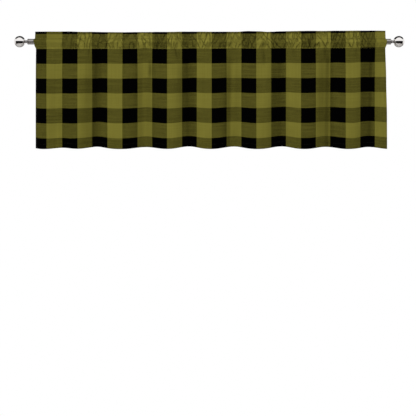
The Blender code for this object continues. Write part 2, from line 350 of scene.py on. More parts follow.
# Creases of the heading that show one by one
HEADING_CREASES = (
    Crease(x=-0.575, height=0.008, reach=0.016, lean=0.40, width=0.0040, depth=0.0022),
    Crease(x=-0.503, height=0.033, reach=0.018, lean=-0.26, width=0.0036, depth=0.0040),
    Crease(x=-0.490, height=0.059, reach=0.010, lean=0.30, width=0.0036, depth=0.0030),
    Crease(x=-0.401, height=0.008, reach=0.016, lean=0.10, width=0.0036, depth=0.0036),
    Crease(x=-0.367, height=0.046, reach=0.016, lean=1.10, width=0.0040, depth=0.0034),
    Crease(x=-0.320, height=0.047, reach=0.014, lean=1.00, width=0.0036, depth=0.0030),
    Crease(x=-0.292, height=0.010, reach=0.016, lean=-0.10, width=0.0036, depth=0.0036),
    Crease(x=-0.230, height=0.055, reach=0.014, lean=-0.80, width=0.0036, depth=0.0036),
    Crease(x=-0.219, height=0.014, reach=0.016, lean=0.15, width=0.0034, depth=0.0030),
    Crease(x=-0.200, height=0.014, reach=0.024, lean=0.20, width=0.0040, depth=0.0052),
    Crease(x=-0.174, height=0.050, reach=0.012, lean=0.90, width=0.0038, depth=0.0036),
    Crease(x=-0.159, height=0.028, reach=0.018, lean=-0.10, width=0.0034, depth=0.0034),
    Crease(x=-0.148, height=0.034, reach=0.028, lean=0.05, width=0.0030, depth=-0.0026),
    Crease(x=-0.138, height=0.014, reach=0.020, lean=0.12, width=0.0036, depth=0.0038),
    Crease(x=-0.124, height=0.044, reach=0.016, lean=-0.30, width=0.0036, depth=0.0034),
    Crease(x=-0.103, height=0.050, reach=0.012, lean=0.80, width=0.0038, depth=0.0032),
    Crease(x=-0.092, height=0.016, reach=0.016, lean=0.35, width=0.0036, depth=0.0034),
    Crease(x=-0.036, height=0.022, reach=0.016, lean=-0.35, width=0.0034, depth=0.0030),
    Crease(x=-0.027, height=0.032, reach=0.018, lean=-0.50, width=0.0034, depth=-0.0036),
    Crease(x=-0.012, height=0.050, reach=0.014, lean=0.40, width=0.0050, depth=0.0036),
    Crease(x=0.040, height=0.016, reach=0.016, lean=0.05, width=0.0036, depth=0.0028),
    Crease(x=0.084, height=0.026, reach=0.030, lean=0.25, width=0.0034, depth=0.0036),
    Crease(x=0.137, height=0.034, reach=0.018, lean=0.70, width=0.0036, depth=0.0034),
    Crease(x=0.152, height=0.012, reach=0.014, lean=0.50, width=0.0036, depth=0.0036),
    Crease(x=0.176, height=0.037, reach=0.014, lean=0.60, width=0.0038, depth=0.0038),
    Crease(x=0.200, height=0.052, reach=0.014, lean=0.55, width=0.0034, depth=-0.0032),
    Crease(x=0.208, height=0.048, reach=0.014, lean=0.60, width=0.0036, depth=0.0040),
    Crease(x=0.211, height=0.018, reach=0.022, lean=-0.08, width=0.0038, depth=0.0040),
    Crease(x=0.263, height=0.014, reach=0.014, lean=0.00, width=0.0036, depth=0.0028),
    Crease(x=0.307, height=0.044, reach=0.018, lean=0.20, width=0.0038, depth=0.0040),
    Crease(x=0.309, height=0.020, reach=0.014, lean=-0.15, width=0.0036, depth=0.0032),
    Crease(x=0.390, height=0.030, reach=0.032, lean=-0.26, width=0.0040, depth=0.0048),
    Crease(x=0.404, height=0.043, reach=0.016, lean=0.40, width=0.0036, depth=0.0034),
    Crease(x=0.425, height=0.013, reach=0.014, lean=0.10, width=0.0042, depth=0.0040),
    Crease(x=0.436, height=0.044, reach=0.014, lean=-0.60, width=0.0036, depth=0.0034),
    Crease(x=0.447, height=0.016, reach=0.016, lean=-0.40, width=0.0036, depth=0.0034),
    Crease(x=0.464, height=0.018, reach=0.016, lean=0.40, width=0.0036, depth=0.0036),
    Crease(x=0.485, height=0.038, reach=0.016, lean=0.55, width=0.0038, depth=0.0038),
    Crease(x=0.493, height=0.010, reach=0.014, lean=0.10, width=0.0036, depth=0.0034),
    Crease(x=0.499, height=0.054, reach=0.012, lean=0.90, width=0.0036, depth=0.0034),
    Crease(x=0.549, height=0.012, reach=0.014, lean=-0.30, width=0.0036, depth=0.0030),
    Crease(x=0.571, height=0.045, reach=0.014, lean=-0.80, width=0.0040, depth=0.0038),
    Crease(x=0.583, height=0.013, reach=0.012, lean=0.10, width=0.0040, depth=0.0036),
    Crease(x=0.607, height=0.022, reach=0.016, lean=0.10, width=0.0036, depth=0.0032),
    Crease(x=0.626, height=0.046, reach=0.016, lean=0.05, width=0.0032, depth=-0.0032),
    Crease(x=0.635, height=0.046, reach=0.016, lean=-0.05, width=0.0032, depth=-0.0030),
)
# Longer ones that run down the panel from the lower seam
PANEL_CREASES = (
    Crease(x=-0.470, height=-0.012, reach=0.034, lean=0.05, width=0.0050, depth=0.0022),
    Crease(x=-0.345, height=-0.010, reach=0.028, lean=-0.10, width=0.0045, depth=0.0014),
    Crease(x=-0.232, height=-0.088, reach=0.050, lean=0.00, width=0.0080, depth=0.0040),
    Crease(x=-0.150, height=-0.010, reach=0.030, lean=0.12, width=0.0040, depth=-0.0014),
    Crease(x=-0.129, height=-0.020, reach=0.034, lean=-0.28, width=0.0038, depth=0.0036),
    Crease(x=-0.117, height=-0.022, reach=0.026, lean=-0.10, width=0.0036, depth=0.0022),
    Crease(x=0.060, height=-0.010, reach=0.026, lean=0.10, width=0.0045, depth=0.0013),
    Crease(x=0.214, height=-0.034, reach=0.040, lean=-0.05, width=0.0050, depth=0.0026),
    Crease(x=0.330, height=-0.012, reach=0.034, lean=-0.12, width=0.0045, depth=0.0017),
    Crease(x=0.455, height=-0.014, reach=0.040, lean=0.08, width=0.0050, depth=0.0022),
    Crease(x=0.575, height=-0.010, reach=0.028, lean=0.14, width=0.0045, depth=0.0014),
)
HAND_CREASES = HEADING_CREASES + PANEL_CREASES


@dataclass(frozen=True)
class ClothSize:
    """Sizes of the cloth, most of them those of the solid that it stands for.

    Attributes:
        left: its left edge on the rod.
        right: its right edge on the rod.
        thickness: the thickness of one layer.
        turn_radius: from the middle between two layers to the middle of each.
        upper_seam: height of the seam above the rod.
        lower_seam: height of the seam below it.
        hem: height of the lower edge where it hangs lowest.
        hem_depth: how far the hem is turned up.
        seam_allowance: what the back layer has below the lower seam.
        side_hem: width of the side hems.
        ridge_forward: how far the cloth between the folds comes forward.
        width_at_seam: a fold's width at the seam, as a share of that at the hem.
        early_growth: power that lets the folds deepen soon below the seam.
        sharpness_at_seam: power in a fold's bell at the seam, where its bottom is flatter.
        sharpness_at_hem: the same at the hem.
        rise_at_seam: share of the hem's rise that the rows at the seam have.
        rise_growth: power by which the rise grows towards the hem.
        panel_ripple: height of the faint waves between the folds.
        pocket_pucker: how far the pocket's slow wave stands off.
        pocket_mean: the mean of that wave, as a share of its height.
        pocket_start: share of it that is there where the cloth first meets the rod.
        pucker_over_rod: share of the creases that is left over the rod.
        header_pucker: how far the header leans.
        header_onset: share of its height over which its creases set in.
        header_bend: how much more it leans low down.
        pocket_slack: how far the pocket stands off the rod at the rod's own height.
        clearance: the least distance from its seat on the rod.
        flank_clearance: the same for its straight flank.
        deep_crease: depth of a crease at which its painted shade is full.
        shade_width: half width of the painted dark line in a fold's bottom.
        shade_start: share of the way down over which that painted line sets in.
        arc_end: angle above the rod's own height at which the cloth leaves the rod for the upper seam.
        edge_reach: how far inwards the outline of a side edge is felt.
        check_across: width of the check's columns.
        check_down: height of its rows.
        check_top: height from which the strip is measured down.
        check_start: place along the rod where an olive column starts.
        check_top_line: distance down the strip where an olive row starts.
        rise_lost: share of the slant of the rows that is lost at the hem.
        end_pull: how far the columns are drawn to the left at the left edge.
        end_pull_reach: distance over which that fades.
        flat_width: width of the cut cloth.
        flat_length: its length.
    """

    left: float = -0.6772
    right: float = 0.6883
    thickness: float = 1.2 * MM
    turn_radius: float = 0.9 * MM
    upper_seam: float = 13.8 * MM
    lower_seam: float = -25.4 * MM
    hem: float = -421.0 * MM
    hem_depth: float = 25.0 * MM
    seam_allowance: float = 6.0 * MM
    side_hem: float = 7.0 * MM
    ridge_forward: float = 12.0 * MM
    width_at_seam: float = 0.75
    early_growth: float = 5.0
    sharpness_at_seam: float = 2.2
    sharpness_at_hem: float = 1.6
    rise_at_seam: float = 0.12
    rise_growth: float = 1.2
    panel_ripple: float = 0.35 * MM
    pocket_pucker: float = 1.6 * MM
    pocket_mean: float = 0.5
    pocket_start: float = 0.5
    pucker_over_rod: float = 0.25
    header_pucker: float = 1.6 * MM
    header_onset: float = 0.4
    header_bend: float = 0.4
    pocket_slack: float = 3.0 * MM
    clearance: float = 0.05 * MM
    flank_clearance: float = 0.6 * MM
    deep_crease: float = 4.0 * MM
    shade_width: float = 8.0 * MM
    shade_start: float = 0.12
    arc_end: float = math.radians(80)
    edge_reach: float = 50.0 * MM
    check_across: float = 58.1 * MM
    check_down: float = 58.5 * MM
    check_top: float = 38.0 * MM
    check_start: float = -48.5 * MM
    check_top_line: float = 6.8 * MM
    rise_lost: float = 0.5
    end_pull: float = 10.0 * MM
    end_pull_reach: float = 80.0 * MM
    flat_width: float = 1.54
    flat_length: float = 0.575


@dataclass(frozen=True)
class SeamPuckers:
    """A row of small unlike creases along a seam, as a drawn seam puckers the cloth beside it.

    Attributes:
        seed: seed of the row's random numbers.
        height: their middle above the lower seam.
        reach: half their usual length.
        spacing: mean distance between neighbours.
        depth: usual depth.
        places: where a crease may stand, in shares of its spacing.
        ridge: height of a ridge, in shares of a depth.
        shifts: how far up or down it may lie, in shares of the reach.
        reaches: how long it may be, in shares of the reach.
        lean: how much their leans differ.
        widths: how wide it may be, in shares of the spacing.
        depths: how deep it may be, in shares of the depth.
    """

    seed: int
    height: float
    reach: float
    spacing: float
    depth: float
    places: Range = (0.1, 0.9)
    ridge: float = 0.8
    shifts: Range = (-0.25, 0.25)
    reaches: Range = (0.6, 1.4)
    lean: float = 0.28
    widths: Range = (0.22, 0.34)
    depths: Range = (0.35, 1.3)

    def creases(self) -> list[Crease]:
        """The creases, troughs and ridges in turn, as strong as the heading is gathered at each."""
        draw = np.random.default_rng(self.seed)
        count = int((ClothSize.right - ClothSize.left) / self.spacing)
        creases = []
        for number in range(count):
            x = ClothSize.left + self.spacing * (number + draw.uniform(*self.places))
            turn = 1.0 if number % 2 == 0 else -self.ridge
            creases.append(Crease(
                x=x,
                height=self.height + self.reach * draw.uniform(*self.shifts),
                reach=self.reach * draw.uniform(*self.reaches),
                lean=draw.normal(0.0, self.lean),
                width=self.spacing * draw.uniform(*self.widths),
                depth=self.depth * turn * draw.uniform(*self.depths) * float(GATHERING.at(np.array(x))),
            ))
        return creases


SEAM_PUCKERS = (
    SeamPuckers(seed=11, height=54.0 * MM, reach=16.0 * MM, spacing=14.0 * MM, depth=2.8 * MM),
    SeamPuckers(seed=12, height=31.0 * MM, reach=18.0 * MM, spacing=13.0 * MM, depth=3.0 * MM),
    SeamPuckers(seed=13, height=10.0 * MM, reach=16.0 * MM, spacing=13.0 * MM, depth=3.0 * MM),
    SeamPuckers(seed=14, height=-6.0 * MM, reach=22.0 * MM, spacing=21.0 * MM, depth=0.9 * MM),
)


class Wave(NamedTuple):
    """A slow wave along the rod.

    Attributes:
        share: its height, as a share of what it sways.
        radian: length of one radian of it.
        phase: its phase at mid length.
        drift: how far the phase moves from the seam to the hem.
    """

    share: float
    radian: float
    phase: float = 0.0
    drift: float = 0.0

    def at(self, x: Array, drop: float = 0.0) -> Array:
        """Its value at places along the rod, a share of the way down the panel."""
        return self.share * np.sin(x / self.radian + self.phase + self.drift * drop)


PANEL_RIPPLE = (Wave(share=1.0, radian=0.0191, drift=5.0), Wave(share=1.0, radian=0.0473, drift=-2.0))
POCKET_SWAY = (Wave(share=0.3, radian=0.0153, phase=1.3), Wave(share=0.2, radian=0.0346))
HEADER_SWAY = (Wave(share=0.6, radian=0.0137, phase=0.7), Wave(share=0.4, radian=0.0291, phase=2.1))


@dataclass(frozen=True)
class RodSize:
    """Sizes of the rod, its caps and its finials.

    Attributes:
        radius: the rod's radius.
        half_length: half its length.
        chamfer: how much its end edges are broken.
        gap: distance between two neighbouring pieces.
        cap_length: length of a cap.
        cap_radius: its radius.
        cap_nose: radius of its flat nose.
        cap_band: length of its straight band.
        cap_chamfer: how much its inner edge is broken.
        ball_radius: a ball's radius.
        ball_centre: its centre, from mid length.
        neck_radius: radius of the neck.
        flange_radius: radius of the flange against the cap.
        flange_length: length of the flange.
    """

    radius: float = 11.0 * MM
    half_length: float = 706.0 * MM
    chamfer: float = 0.4 * MM
    gap: float = 0.3 * MM
    cap_length: float = 4.7 * MM
    cap_radius: float = 11.4 * MM
    cap_nose: float = 7.5 * MM
    cap_band: float = 1.6 * MM
    cap_chamfer: float = 0.2 * MM
    ball_radius: float = 22.3 * MM
    ball_centre: float = 741.2 * MM
    neck_radius: float = 5.5 * MM
    flange_radius: float = 6.6 * MM
    flange_length: float = 2.2 * MM


class YarnStreaks(NamedTuple):
    """One kind of unevenness of the yarn.

    Attributes:
        long_way: how often it changes along the yarn, for each metre.
        cross_way: how often it changes across it.
        low: its darkest shade.
        high: its lightest shade.
    """

    long_way: float
    cross_way: float
    low: float
    high: float


YARN_STREAKS = (
    YarnStreaks(long_way=3.0, cross_way=420.0, low=0.93, high=1.07),
    YarnStreaks(long_way=9.0, cross_way=6.0, low=0.97, high=1.03),
)


class CrinkleLines(NamedTuple):
    """One family of the small sharp creases in the heading.

    Attributes:
        width: size of the pattern along the rod.
        length: its size down the cloth.
        slant: how far the lines run sideways for each unit down.
        shift: place in the noise that sets it apart from the other family.
        half: half width of a line, in units of the noise's swing.
    """

    width: float
    length: float
    slant: float
    shift: float
    half: float


CRINKLE_FAMILIES = (
    CrinkleLines(width=0.021, length=0.090, slant=0.25, shift=0.0, half=0.068),
    CrinkleLines(width=0.031, length=0.080, slant=-0.50, shift=7.3, half=0.048),
)


@dataclass(frozen=True)
class WovenCotton:
    """Yarn-dyed cotton in an even check: matte, its mid tone made by olive and black threads that cross.

    Attributes:
        olive: colour of the light squares.
        black: colour of the dark squares.
        thread: spacing of the drawn threads, several times the real 0.4 mm, so that they show.
        edge: width over which one colour gives way to the next.
        crossing: how far a crossing of the two colours swings from an even mix, thread by thread.
        swing: how far the drawn weave runs before that mix stops changing.
        mix_darkening: power that makes the squares where the two colours mix a little darker than an even
            mix.
        streak_length: usual length of the weft's streaks.
        streak_width: their usual width.
        streak_swing: how far they change the share of olive.
        relief: height of a drawn thread's crown.
        painted_crease_shade: painted shade, how much darker the cloth is drawn in deep creases and fold
            bottoms.
        painted_crinkle_shade: painted shade, how much darker the cloth is drawn in the small creases of the
            heading.
        painted_heading_light: painted light, how much lighter the cloth is drawn over the gathered heading.
        crinkle_depth: depth of the small creases of the heading.
        crinkle_end: how far down the strip they go.
        crinkle_fade: length over which they fade out there.
        left_fade: places along the rod between which the heading's creases set in.
        left_share: how strong they are before that.
        right_fade: places between which they fall off.
        right_share: how strong they are after that.
        roughness: matte, as brushed cotton is.
        rough_gap: how much rougher it is between the threads.
        smooth_crown: how much smoother it is on their crowns.
        gloss: hardly any, as loose fibres scatter it.
    """

    olive: str = "716c2c"
    black: str = "010101"
    thread: float = 1.5 * MM
    edge: float = 0.9 * MM
    crossing: float = 0.18
    swing: float = 0.4
    mix_darkening: float = 1.14
    streak_length: float = 110.0 * MM
    streak_width: float = 4.2 * MM
    streak_swing: float = 0.075
    relief: float = 0.10 * MM
    painted_crease_shade: float = 0.44
    painted_crinkle_shade: float = 0.28
    painted_heading_light: float = 0.24
    crinkle_depth: float = 3.3 * MM
    crinkle_end: float = 74.0 * MM
    crinkle_fade: float = 16.0 * MM
    left_fade: Range = (-0.590, -0.520)
    left_share: float = 0.15
    right_fade: Range = (0.600, 0.660)
    right_share: float = 0.3
    roughness: float = 0.86
    rough_gap: float = 0.06
    smooth_crown: float = 0.04
    gloss: float = 0.02

    def stripes(self, tree: Tree, along: Socket, start: float, pitch: float) -> Node:
        """Even stripes, 1 in the olive ones and 0 in the black ones: a sine of the check's pitch, cut at 0.

        Args:
            tree: the material's tree.
            along: distance across the stripes.
            start: where an olive stripe starts.
            pitch: width of a stripe.

        Returns:
            The stripes.
        """
        away = add_node(tree, "Math", along, start, operation="SUBTRACT")
        turned = add_node(tree, "Math", away, math.pi / pitch, operation="MULTIPLY")
        wave = add_node(tree, "Math", turned, operation="SINE")
        soft = math.sin(math.pi * 0.5 * self.edge / pitch)
        return add_node(tree, "MapRange", wave, -soft, soft, interpolation_type="SMOOTHSTEP")

    def weave(self, tree: Tree, across: Socket, down: Socket) -> Node:
        """The drawn threads: a sine along the rod times one down the strip, 1 or -1 where threads cross."""
        waves = []
        for distance in (across, down):
            turned = add_node(tree, "Math", distance, math.pi / self.thread, operation="MULTIPLY")
            waves.append(add_node(tree, "Math", turned, operation="SINE"))
        return add_node(tree, "Math", *waves, operation="MULTIPLY")

    def dyed(self, tree: Tree, across: Socket, down: Socket, weave: Node) -> Node:
        """The yarns' colours: warp or weft shows, thread by thread, and where they differ the mix is uneven.

        Args:
            tree: the material's tree.
            across: distance along the rod.
            down: distance down the strip from the header's top.
            weave: the drawn threads.

        Returns:
            The colour.
        """
        size = ClothSize
        warp = self.stripes(tree, across, size.check_start, size.check_across)
        weft = self.stripes(tree, down, size.check_top_line, size.check_down)
        even = 0.5
        over = add_node(
            tree, "MapRange", weave, -self.swing, self.swing, even - self.crossing, even + self.crossing
        )
        share = add_node(tree, "Mix", over, warp, weft, data_type="FLOAT")
        difference = add_node(tree, "Math", warp, weft, operation="SUBTRACT")
        crossed = add_node(tree, "Math", difference, operation="ABSOLUTE")
        beat = self.beat(tree, across, down)
        uneven = add_node(tree, "Math", crossed, beat, share, operation="MULTIPLY_ADD")
        olive_share = add_node(tree, "Math", uneven, self.mix_darkening, operation="POWER")
        black, olive = linear(self.black), linear(self.olive)
        return add_node(tree, "Mix", olive_share, black, olive, data_type="RGBA")

    def beat(self, tree: Tree, across: Socket, down: Socket) -> Node:
        """How unevenly the weft is beaten up, in long level streaks that show where the colours cross."""
        along = add_node(tree, "Math", across, self.streak_length, operation="DIVIDE")
        over = add_node(tree, "Math", down, self.streak_width, operation="DIVIDE")
        vector = add_node(tree, "CombineXYZ", along, over)
        noise = add_node(
            tree, "TexNoise", noise_dimensions="2D", Vector=vector, Scale=1.0, Detail=1.0, Roughness=0.5
        )
        return add_node(tree, "MapRange", noise, *NOISE_SPAN, -self.streak_swing, self.streak_swing)

    def crinkles(self, tree: Tree, across: Socket, down: Socket) -> Node:
        """Height of the small sharp creases that sewing and gathering leave in the heading.

        Two stretched and slanted noises wander about their middle value. Where one crosses it, a narrow
        crease is drawn, which gives winding, mostly upright lines.

        Args:
            tree: the material's tree.
            across: distance along the rod.
            down: distance down the strip from the header's top.

        Returns:
            The height, 0 in the open and down to -1 in a crease.
        """
        lines = []
        for family in CRINKLE_FAMILIES:
            slanted = add_node(tree, "Math", down, family.slant, across, operation="MULTIPLY_ADD")
            along = add_node(tree, "Math", slanted, family.width, operation="DIVIDE")
            over = add_node(tree, "Math", down, family.length, operation="DIVIDE")
            vector = add_node(tree, "CombineXYZ", along, over, family.shift)
            noise = add_node(
                tree, "TexNoise", Vector=vector, Scale=1.0, Detail=1.0, Roughness=0.4, Distortion=0.1
            )
            swing = add_node(tree, "Math", noise, NOISE_MIDDLE, operation="SUBTRACT")
            away = add_node(tree, "Math", swing, operation="ABSOLUTE")
            lines.append(add_node(
                tree, "MapRange", away, 0.0, family.half, -1.0, 0.0, interpolation_type="SMOOTHSTEP"
            ))
        return add_node(tree, "Math", *lines, operation="MINIMUM")

    def heading_mask(self, tree: Tree, across: Socket, down: Socket) -> Node:
        """1 where the heading is gathered, fading to 0 below it and to little at its two ends."""
        mask = 1.0
        for place, ends, strengths in (
            (down, (self.crinkle_end - self.crinkle_fade, self.crinkle_end), (1.0, 0.0)),
            (across, self.left_fade, (self.left_share, 1.0)),
            (across, self.right_fade, (1.0, self.right_share)),
        ):
            fade = add_node(tree, "MapRange", place, *ends, *strengths, interpolation_type="SMOOTHSTEP")
            mask = add_node(tree, "Math", mask, fade, operation="MULTIPLY")
        return mask

    def painted_light_and_shade(self, tree: Tree, heading: Node, crinkle: Node) -> Node:
        """Painted light and shade: darker in the creases, the fold bottoms and the heading's crinkles, and
        lighter over the gathered heading.
        """
        crease = add_node(tree, "Attribute", attribute_name=PAINTED_SHADE_ATTRIBUTE).outputs["Fac"]
        light = 1.0
        for depth, change in (
            (crease, -self.painted_crease_shade), (crinkle, self.painted_crinkle_shade), (heading, self.painted_heading_light),
        ):
            factor = add_node(tree, "Math", depth, change, 1.0, operation="MULTIPLY_ADD")
            light = add_node(tree, "Math", light, factor, operation="MULTIPLY")
        return light

    def yarn_shade(self, tree: Tree, across: Socket, down: Socket) -> Node:
        """Uneven yarn: streaks of a few threads along warp and weft, and a slow cloudiness over all."""
        shade = 1.0
        for kind in YARN_STREAKS:
            for first, second in ((kind.long_way, kind.cross_way), (kind.cross_way, kind.long_way)):
                along = add_node(tree, "Math", across, first, operation="MULTIPLY")
                over = add_node(tree, "Math", down, second, operation="MULTIPLY")
                vector = add_node(tree, "CombineXYZ", along, over)
                noise = add_node(
                    tree, "TexNoise", noise_dimensions="2D", Vector=vector,
                    Scale=1.0, Detail=2.0, Roughness=0.5,
                )
                streaks = add_node(tree, "MapRange", noise, *NOISE_SPAN, kind.low, kind.high)
                shade = add_node(tree, "Math", shade, streaks, operation="MULTIPLY")
        return shade

    def build(self) -> Material:
        """Make the material: the dyed yarns, toned by their unevenness, with painted shade in the creases
        and painted light over the heading, in soft relief.
        """
        material, tree, shader = new_material("yarn_dyed_check_cotton")
        place = add_node(tree, "UVMap", uv_map=UV_NAME)
        across, down = add_node(tree, "SeparateXYZ", place).outputs[:2]
        weave = self.weave(tree, across, down)
        colour = self.dyed(tree, across, down, weave)
        heading = self.heading_mask(tree, across, down)
        crinkle = add_node(tree, "Math", heading, self.crinkles(tree, across, down), operation="MULTIPLY")
        yarn = self.yarn_shade(tree, across, down)
        # The yarn's unevenness times the painted light and shade
        shade = add_node(tree, "Math", yarn, self.painted_light_and_shade(tree, heading, crinkle), operation="MULTIPLY")
        toned = add_node(tree, "Mix", 1.0, colour, shade, data_type="RGBA", blend_type="MULTIPLY")
        crown = add_node(tree, "Math", weave, operation="ABSOLUTE")
        roughest, smoothest = self.roughness + self.rough_gap, self.roughness - self.smooth_crown
        rough = add_node(tree, "MapRange", crown, 0.0, 1.0, roughest, smoothest)
        threads = add_node(tree, "Bump", Strength=0.5, Distance=self.relief, Height=crown)
        crinkles = add_node(
            tree, "Bump", Strength=1.0, Distance=self.crinkle_depth, Height=crinkle, Normal=threads
        )
        fill_inputs(
            tree, shader, Base_Color=toned, Roughness=rough, Normal=crinkles, Specular_IOR_Level=self.gloss
        )
        return material


@dataclass(frozen=True)
class SewingThread:
    """Spun polyester thread: dull and twisted, in olive for the heading and black for the hems.

    Attributes:
        name: the material's name.
        colour: the thread's middle tone.
        twist: about the distance between the stripes of its twist.
        relief: height of a ply's crown.
        tones: painted shade between the plies and painted light on their crowns, as factors of its colour.
        roughness: dull.
    """

    name: str
    colour: str
    twist: float = 0.7 * MM
    relief: float = 0.1 * MM
    tones: Range = (0.7, 1.3)
    roughness: float = 0.7

    def build(self) -> Material:
        """Make the material: a slanting stripe for the thread's twist, in relief, and in colour as painted
        shade and light.
        """
        material, tree, shader = new_material(self.name)
        place = add_node(tree, "TexCoord").outputs["Object"]
        twist = add_node(
            tree, "TexWave", wave_type="BANDS", bands_direction="DIAGONAL", Vector=place,
            Scale=WAVE_BAND / self.twist, Distortion=0.6,
        ).outputs["Fac"]
        # Painted shade between the plies and painted light on their crowns
        dark, light = (shaded(linear(self.colour), factor) for factor in self.tones)
        colour = add_node(tree, "Mix", twist, dark, light, data_type="RGBA")
        bump = add_node(tree, "Bump", Strength=0.4, Distance=self.relief, Height=twist)
        fill_inputs(tree, shader, Base_Color=colour, Roughness=self.roughness, Normal=bump)
        return material


@dataclass(frozen=True)
class ChromePlate:
    """Polished steel under bright chrome: a clear mirror, with faint haze from handling.

    Attributes:
        colour: bright, and a little warm.
        clear: roughness where it is clean.
        hazy: roughness in the haze.
        patch: size of a patch of haze.
        spread: where in a noise the haze sets in and is full.
    """

    colour: str = "e6e3e1"
    clear: float = 0.035
    hazy: float = 0.09
    patch: float = 18.0 * MM
    spread: Range = (0.35, 0.75)

    def build(self) -> Material:
        """Make the material: a bright metal whose roughness drifts in soft patches."""
        material, tree, shader = new_material("chrome_plated_steel")
        place = add_node(tree, "TexCoord").outputs["Object"]
        haze = add_node(tree, "TexNoise", Vector=place, Scale=1.0 / self.patch, Detail=4.0)
        rough = add_node(tree, "MapRange", haze, *self.spread, self.clear, self.hazy)
        fill_inputs(tree, shader, Base_Color=linear(self.colour), Metallic=1.0, Roughness=rough)
        return material


@dataclass(frozen=True)
class SatinSteel:
    """Drawn steel under dull grey plating: its reflections are blurred, with faint drawing lines.

    Attributes:
        colour: mid grey.
        roughness: usual roughness.
        line: width of a drawing line.
        stretch: how much slower the lines change along the rod than across it.
        spread: where in a noise the smoothest and the roughest lines are reached.
        smoother: how much smoother those are.
        rougher: how much rougher.
    """

    colour: str = "a7a3a0"
    roughness: float = 0.37
    line: float = 0.5 * MM
    stretch: float = 0.02
    spread: Range = (0.3, 0.7)
    smoother: float = 0.05
    rougher: float = 0.08

    def build(self) -> Material:
        """Make the material: a grey metal with faint lines drawn out along the rod."""
        material, tree, shader = new_material("satin_plated_steel")
        place = add_node(tree, "TexCoord").outputs["Object"]
        drawn = add_node(tree, "Mapping", place, Scale=(self.stretch, 1.0, 1.0))
        lines = add_node(tree, "TexNoise", Vector=drawn, Scale=1.0 / self.line, Detail=2.0)
        low, high = self.roughness - self.smoother, self.roughness + self.rougher
        rough = add_node(tree, "MapRange", lines, *self.spread, low, high)
        fill_inputs(tree, shader, Base_Color=linear(self.colour), Metallic=1.0, Roughness=rough)
        return material


@dataclass(frozen=True)
class PaleFloor:
    """Matte painted floor: near white, with a faint unevenness."""

    colour: str = "f4f3f1"
    tones: Range = (0.98, 1.0)
    roughness: float = 0.9

    def build(self) -> Material:
        """Make the material: a pale colour that a slow noise changes by a hair."""
        material, tree, shader = new_material("matte_floor_paint")
        place = add_node(tree, "TexCoord").outputs["Object"]
        noise = add_node(tree, "TexNoise", Vector=place, Scale=2.0, Detail=3.0)
        low, high = (shaded(linear(self.colour), factor) for factor in self.tones)
        colour = add_node(tree, "Mix", noise, low, high, data_type="RGBA")
        fill_inputs(tree, shader, Base_Color=colour, Roughness=self.roughness)
        return material


